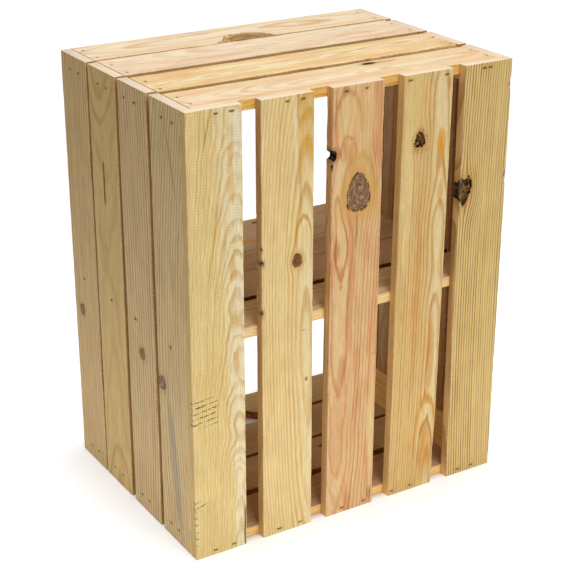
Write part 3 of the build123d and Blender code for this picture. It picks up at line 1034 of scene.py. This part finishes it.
def knot_colours(paint, look, colour, u, v, w):
    """Paints the knots over the grain; returns the colour and how much of a knot each place is."""
    noise, mix = paint.noise, paint.mix
    inside_any = None
    for knot in look.knots:
        far = knot_distance(paint, knot, u, v, w)
        inside = far.fade(0.88, 1.0)
        halo = far.fade(0.95, 2.1) * knot.halo_strength
        colour = mix(halo, colour, knot.halo)
        rings = (far * (knot.size * 2.3) + knot.u).math("SINE") * 0.5 + 0.5
        mottle = noise(u * 0.2, v * 0.3, knot.u, detail=2.0)
        burn = far.smooth(0.25, 0.75) * knot.burn
        dark = (rings * 0.35 + mottle.smooth(0.4, 0.66) * 0.6 + burn).least(1.0)
        wood = mix(dark, knot.heart, knot.heart_dark)
        wood = mix(mottle.fade(0.32, 0.4) * 0.7, wood, knot.fleck)
        colour = mix(inside, colour, wood)
        vein = abs(paint.sway(u * 0.14, v * 0.2, knot.v, detail=2.0))
        crack = vein.fade(0.008, 0.03) * inside * knot.cracks
        rim = far.smooth(knot.rim_start, 0.94) * far.fade(0.98, 1.08)
        broken = noise(u * 0.2, v * 0.3, knot.v).smooth(0.36, 0.56)
        spots = noise(u * 0.5, v * 0.8, knot.u, detail=2.0).smooth(0.6, 0.68)
        scatter = far.fade(1.2, 2.4) * spots * knot.scatter
        dirt = (rim * knot.rim_strength * broken).most(crack).most(scatter)
        colour = mix(dirt, colour, knot.rim)
        inside_any = inside if inside_any is None else inside_any.most(inside)
    return colour, inside_any


def patch_colours(paint, look, colour, u, v, near_face, late):
    """Paints resin streaks and stains on the outer face, and growth rings that arch over them."""
    for patch in look.patches:
        along = (u - patch.u) * (1 / patch.length)
        across = (v - patch.v - (u - patch.u) * patch.drift) * (1 / patch.width)
        ragged = paint.sway(u * 0.025, v * 0.5, patch.u, detail=3.0) * (patch.ragged * 3.6)
        far = distance(along, across) + ragged - late * 0.12
        share = far.fade(0.9 - patch.edge, 1.1) * near_face * patch.strength
        share = share * (late * 0.3 + 0.7)
        if patch.arch:
            share = share * along.smooth(-0.95, -0.1)
        colour = paint.mix(share, colour, patch.colour)
        if patch.arch:
            line = abs(far - 1.0).fade(0.03, 0.17) * along.smooth(-0.55, 0.1)
            colour = paint.mix(line * near_face * 0.8, colour, patch.arch)
    return colour


def scuff_colours(paint, look, colour, u, v, near_face):
    """Paints saw burns on the outer face."""
    for scuff in look.scuffs:
        along = abs((u - scuff.u) * (1 / scuff.length))
        across = abs((v - scuff.v) * (1 / scuff.width))
        window = along.fade(0.75, 1.0) * across.fade(0.6, 1.0)
        jog = paint.noise(u * 0.5, v * 0.15, scuff.u) * 2.6
        turn = (u + v * -scuff.skew * 6 + jog) * (2 * math.pi / scuff.pitch)
        line = turn.math("SINE").smooth(0.72, 0.97)
        broken = paint.noise(u * 0.16, v * 0.3, scuff.v, detail=2.0).smooth(0.34, 0.55)
        share = window * line * broken * near_face * scuff.strength
        colour = paint.mix(share, colour, BURN_COLOUR)
    return colour


def saw_marks(paint, u, v, seed):
    """Ticks across the grain, about -1 to 1, left by the saw's teeth."""
    jog = paint.noise(u * 0.04, v * 0.03, seed) * 9.0 + paint.noise(v * 0.35, seed) * 1.6
    ticks = ((u + v * 0.05) * (2 * math.pi / SAW_PITCH) + jog).math("SINE")
    broken = paint.noise(u * 0.12, v * 0.3, seed + 5.0, detail=2.0).smooth(0.42, 0.66)
    return ticks * broken


def wood_colour(paint, look, depth, u, v, w, grain, level, seed):
    """Early and late wood, with the warm areas, the figure and the sawn flanks of a board, whose
    colour holds painted shade and painted light.
    """
    mix = paint.mix
    warm = paint.noise(u * 0.012, v * 0.06, w * 0.06 + seed, detail=2.0).smooth(0.42, 0.66)
    figure = level.smooth(look.figure_start, 0.985) * look.figure
    # Flanks carry painted shade and painted light of the narrow gaps between boards
    flank = w.smooth(0.4, 1.2) * w.fade(depth - 1.2, depth - 0.4) * look.flank_strength
    early = mix(warm * look.warmth, look.early, look.warm)
    early = mix(figure, early, look.pale)
    early = mix(flank, early, look.flank)
    late = mix(figure, look.late, look.gold)
    late = mix(flank, late, look.late_flank)
    return mix(grain * (figure * 0.2 + look.contrast), early, late)


def worn_colour(paint, look, colour, u, v, w, seed):
    """Paints the joint at the left end, end grain, worn arrises, the dirt in staple seats and painted
    shade in the splits.
    """
    noise, mix = paint.noise, paint.mix
    colour = mix(u.fade(0.4, 1.2) * look.joint, colour, "5c3f20")
    colour = mix(paint.value("end") * look.end_pale, colour, "f6e4cc")
    wear = paint.value("wear")
    frayed = noise(u * 0.35, v * 0.6, w * 0.6, detail=2.0)
    colour = mix(wear * frayed.smooth(0.45, 0.6) * 0.45, colour, "f0dfba")
    colour = mix(wear * frayed.fade(0.3, 0.42) * 0.4, colour, "8f7450")
    darkening = noise(u * 0.8, v * 0.5, seed, detail=2.0).smooth(0.35, 0.6) * 0.5 + 0.35
    # Dark of the mark attribute: dirt round the staples, and painted shade in the splits
    return mix(paint.value("mark") * darkening, colour, "4d3510")


def pine(timber, look):
    """Pine of one board: rings, fibres, saw marks, knots, stains, worn arrises and end grain."""
    paint = Paint(f"{timber.name}_pine")
    noise, sway = paint.noise, paint.sway
    seed = float(seed_of(timber.name) % 977)
    u, v, w = paint.parts("Attribute", "Vector", attribute_name="timber")
    age, level = ring_age(paint, look, timber.length, u, v, w, seed)
    ring = age.math("FRACT")
    late = ring.smooth(look.sharp, 0.8) * ring.fade(0.86, 1.0)
    strength = paint.chance(age.math("FLOOR") + seed) * 0.5 + 0.5
    patchy = noise(u * 0.008, v * 0.08, seed + 3.0).smooth(0.3, 0.6) * 0.4 + 0.6
    grain = late * strength * patchy
    colour = wood_colour(paint, look, timber.depth, u, v, w, grain, level, seed)

    fibre = sway(u * 0.06, v * 1.2, w * 1.2 + seed, detail=3.0)
    streak = sway(u * 0.015, v * 0.4, w * 0.4 + seed, detail=2.0)
    blotch = sway(u * 0.03, v * 0.07, seed, detail=2.0)
    saw = saw_marks(paint, u, v, seed)
    light = fibre * (0.6 * look.fibre) + streak * 0.34 + blotch * 0.2 + saw * (0.16 * look.saw) + 1.0
    near_face = w.fade(3.0, 6.0)
    colour = patch_colours(paint, look, colour, u, v, near_face, late)
    colour = paint.brighten(colour, light)
    fleck = noise(u * 0.16, v * 2.6, w * 2.6 + seed).smooth(0.72, 0.8)
    colour = paint.mix(fleck * 0.35, colour, "8a6236")
    colour, knotted = knot_colours(paint, look, colour, u, v, w)
    colour = scuff_colours(paint, look, colour, u, v, near_face)
    paint.set("Base Color", worn_colour(paint, look, colour, u, v, w, seed))

    paint.set("Roughness", fibre * 0.3 - grain * 0.1 + 0.66)
    paint.set("Specular IOR Level", 0.05)
    height = fibre * 0.4 + grain * 0.12 + saw * (0.1 * look.saw)
    if knotted is not None:
        height = height + knotted * (noise(u * 0.5, v * 0.7, seed, detail=2.0) * 0.7)
    paint.bump(height, BUMP_DEPTH)
    return paint.material


def staple_steel():
    """Dulled galvanised wire with rust in patches."""
    paint = Paint("staple_wire")
    x, y, z = paint.parts("TexCoord", "Object")
    rust = paint.noise(x * 600, y * 600, z * 600, detail=3.0).smooth(0.3, 0.5)
    paint.set("Base Color", paint.mix(rust, "c2a25c", "6a4c1e"))
    paint.set("Roughness", rust * 0.3 + 0.5)
    paint.set("Metallic", 0.35 - rust * 0.35)
    return paint.material


# ---- stage: floor, light and camera ----
def add_floor():
    """Pale floor that glows a little, most of all away from the crate, like a light table; its weaker
    glow at the crate's foot paints a soft shadow there.
    """
    paint = Paint("floor_paint")
    x, y, _ = paint.parts("TexCoord", "Object")
    past_x = abs(x) - CAD_BOX[1].x
    past_y = abs(y) - CAD_BOX[1].y
    behind = y - CAD_BOX[1].y
    outside = past_x.most(0.0) + past_y.most(0.0) + behind.most(0.0) * GLOW_BEHIND
    at_foot, away = FLOOR_GLOW
    # Weaker glow at and under the crate's foot: a painted soft shadow
    foot = past_x.most(past_y).smooth(-GLOW_START, 0.0) * at_foot
    glow = outside.smooth(0.0, GLOW_REACH) * (away - at_foot) + foot
    paint.set("Base Color", FLOOR_COLOUR)
    paint.set("Roughness", 0.9)
    paint.set("Specular IOR Level", 0.1)
    paint.set("Emission Color", (1, 1, 1, 1))
    paint.set("Emission Strength", glow)

    mesh = bpy.data.meshes.new("floor")
    signs = ((-1, -1), (1, -1), (1, 1), (-1, 1))
    corners = [(a * FLOOR_REACH, b * FLOOR_REACH, CAD_BOX[0].z) for a, b in signs]
    mesh.from_pydata(corners, [], [(0, 1, 2, 3)])
    mesh.materials.append(paint.material)
    add_object("floor", mesh)


def add_world():
    """White studio round the stage: bright to look at, dimmer as a light."""
    world = bpy.data.worlds.new("studio")
    bpy.context.scene.world = world
    world.use_nodes = True
    tree = world.node_tree
    seen = node_wire(tree, "LightPath", output="Is Camera Ray")
    inputs = (("Value", seen), ("To Min", WORLD_LIGHT), ("To Max", WORLD_WHITE))
    background = tree.nodes["Background"]
    feed(tree, background.inputs["Color"], (1, 1, 1, 1))
    feed(tree, background.inputs["Strength"], node_wire(tree, "MapRange", inputs))


def add_softbox(name, direction, distance, size, power, colour):
    """Square area light that faces the crate's middle."""
    light = bpy.data.lights.new(name, "AREA")
    light.shape = "SQUARE"
    light.size = size
    light.energy = power
    light.color = colour
    lamp = add_object(name, light)
    lamp.location = MIDDLE + Vector(direction).normalized() * distance
    lamp.rotation_euler = (MIDDLE - lamp.location).to_track_quat("-Z", "Y").to_euler()


def add_camera():
    azimuth, elevation = math.radians(CAMERA_AZIMUTH), math.radians(CAMERA_ELEVATION)
    level = math.cos(elevation)
    back = Vector((math.sin(azimuth) * level, -math.cos(azimuth) * level, math.sin(elevation)))
    right = Z.cross(back).normalized()
    up = back.cross(right)
    camera = add_object("camera", bpy.data.cameras.new("camera"))
    camera.data.sensor_width = SENSOR_MM
    camera.data.lens = LENS_MM
    aim = MIDDLE + right * CAMERA_AIM[0] + up * CAMERA_AIM[1]
    camera.location = aim + back * CAMERA_DISTANCE
    camera.rotation_euler = Matrix((right, up, back)).transposed().to_euler()
    bpy.context.scene.camera = camera


def add_stage():
    add_floor()
    add_world()
    add_softbox("key", **KEY_LIGHT)
    add_softbox("overhead", **OVERHEAD_LIGHT)
    add_camera()
    bpy.context.scene.view_settings.view_transform = "Standard"


# ---- the crate ----
def add_timbers():
    timbers = read_timbers()
    find_seats(timbers)
    for name, timber in timbers.items():
        look = SEEN_LOOKS.get(name) or inner_look(name, timber.width, timber.length)
        piece = build_timber(timber, look)
        piece.data.materials.clear()
        piece.data.materials.append(pine(timber, look))
        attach(piece, "root")
        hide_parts(name)


def paint_staples():
    steel = staple_steel()
    for name in STAPLED_BOARDS:
        node = frame["nodes"][name]
        for slot in node.material_slots:
            slot.material = steel


add_stage()
add_timbers()
paint_staples()

bpy.context.view_layer.update()
